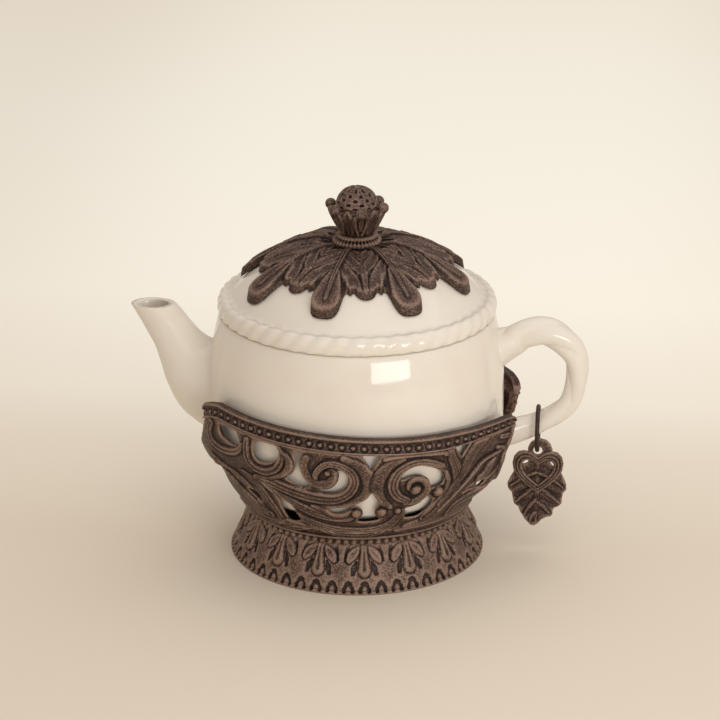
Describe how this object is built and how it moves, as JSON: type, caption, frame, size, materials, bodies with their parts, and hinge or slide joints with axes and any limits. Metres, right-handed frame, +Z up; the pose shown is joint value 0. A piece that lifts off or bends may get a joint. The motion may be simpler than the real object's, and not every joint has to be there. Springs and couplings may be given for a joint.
{
  "type": "teapot in metal stand",
  "caption": "Glazed ceramic teapot with a twisted handle and a leaf-capped lid, resting in a pierced cast metal stand, with a heart charm on its handle.",
  "frame": {"origin": "on the surface that the stand's foot rests on, under the middle of the foot", "axes": "+Z up along the pot's axis, +X towards the handle, -X towards the spout, -Y the front"},
  "size_m": [0.2552, 0.1836, 0.2119],
  "materials": {
    "glazed_ceramic": "clear gloss glaze over cream stoneware",
    "antique_casting": "cast, stippled, antique brown patina with rubbed high spots",
    "dark_wire": "round wire, dark brown patina",
    "zinc_steel": "zinc plated",
    "soft_rubber": "matt black"
  },
  "bodies": {
    "stand": {"stand_foot": "antique_casting", "waist_collar": "antique_casting", "basket_base": "antique_casting", "front_scroll_panel": "antique_casting", "back_scroll_panel": "antique_casting", "front_rail": "antique_casting", "back_rail": "antique_casting", "seat_pad": "soft_rubber", "stand_screw_1": "zinc_steel", "stand_screw_2": "zinc_steel", "stand_screw_3": "zinc_steel"},
    "pot": {"teapot_bowl": "glazed_ceramic", "spout": "glazed_ceramic", "handle": "glazed_ceramic"},
    "lid": {"lid_shell": "glazed_ceramic", "leaf_cap": "antique_casting", "finial_collar": "antique_casting", "finial_cup": "antique_casting", "finial_bud": "antique_casting", "finial_stud": "zinc_steel", "lid_gasket": "soft_rubber", "lid_washer": "zinc_steel", "lid_nut": "zinc_steel"},
    "hanging_ring": {"charm_ring": "dark_wire"},
    "charm": {"charm_leaf": "antique_casting", "charm_heart": "antique_casting"}
  },
  "joints": [
    {"name": "pot_lift", "type": "slide", "parent": "stand", "child": "pot", "axis": [0, 0, 1], "range_m": [0, 0.11]},
    {"name": "lid_lift", "type": "slide", "parent": "pot", "child": "lid", "axis": [0, 0, 1], "range_m": [0, 0.06]},
    {"name": "charm_ring_swing", "type": "hinge", "parent": "pot", "child": "hanging_ring", "pos_m": [0.1015, 0, 0.0772], "axis": [1, 0, 0], "range_deg": [-50, 50]},
    {"name": "charm_swing", "type": "hinge", "parent": "hanging_ring", "child": "charm", "pos_m": [0.1015, 0, 0.0618], "axis": [0, 1, 0], "range_deg": [-20, 20]}
  ]
}
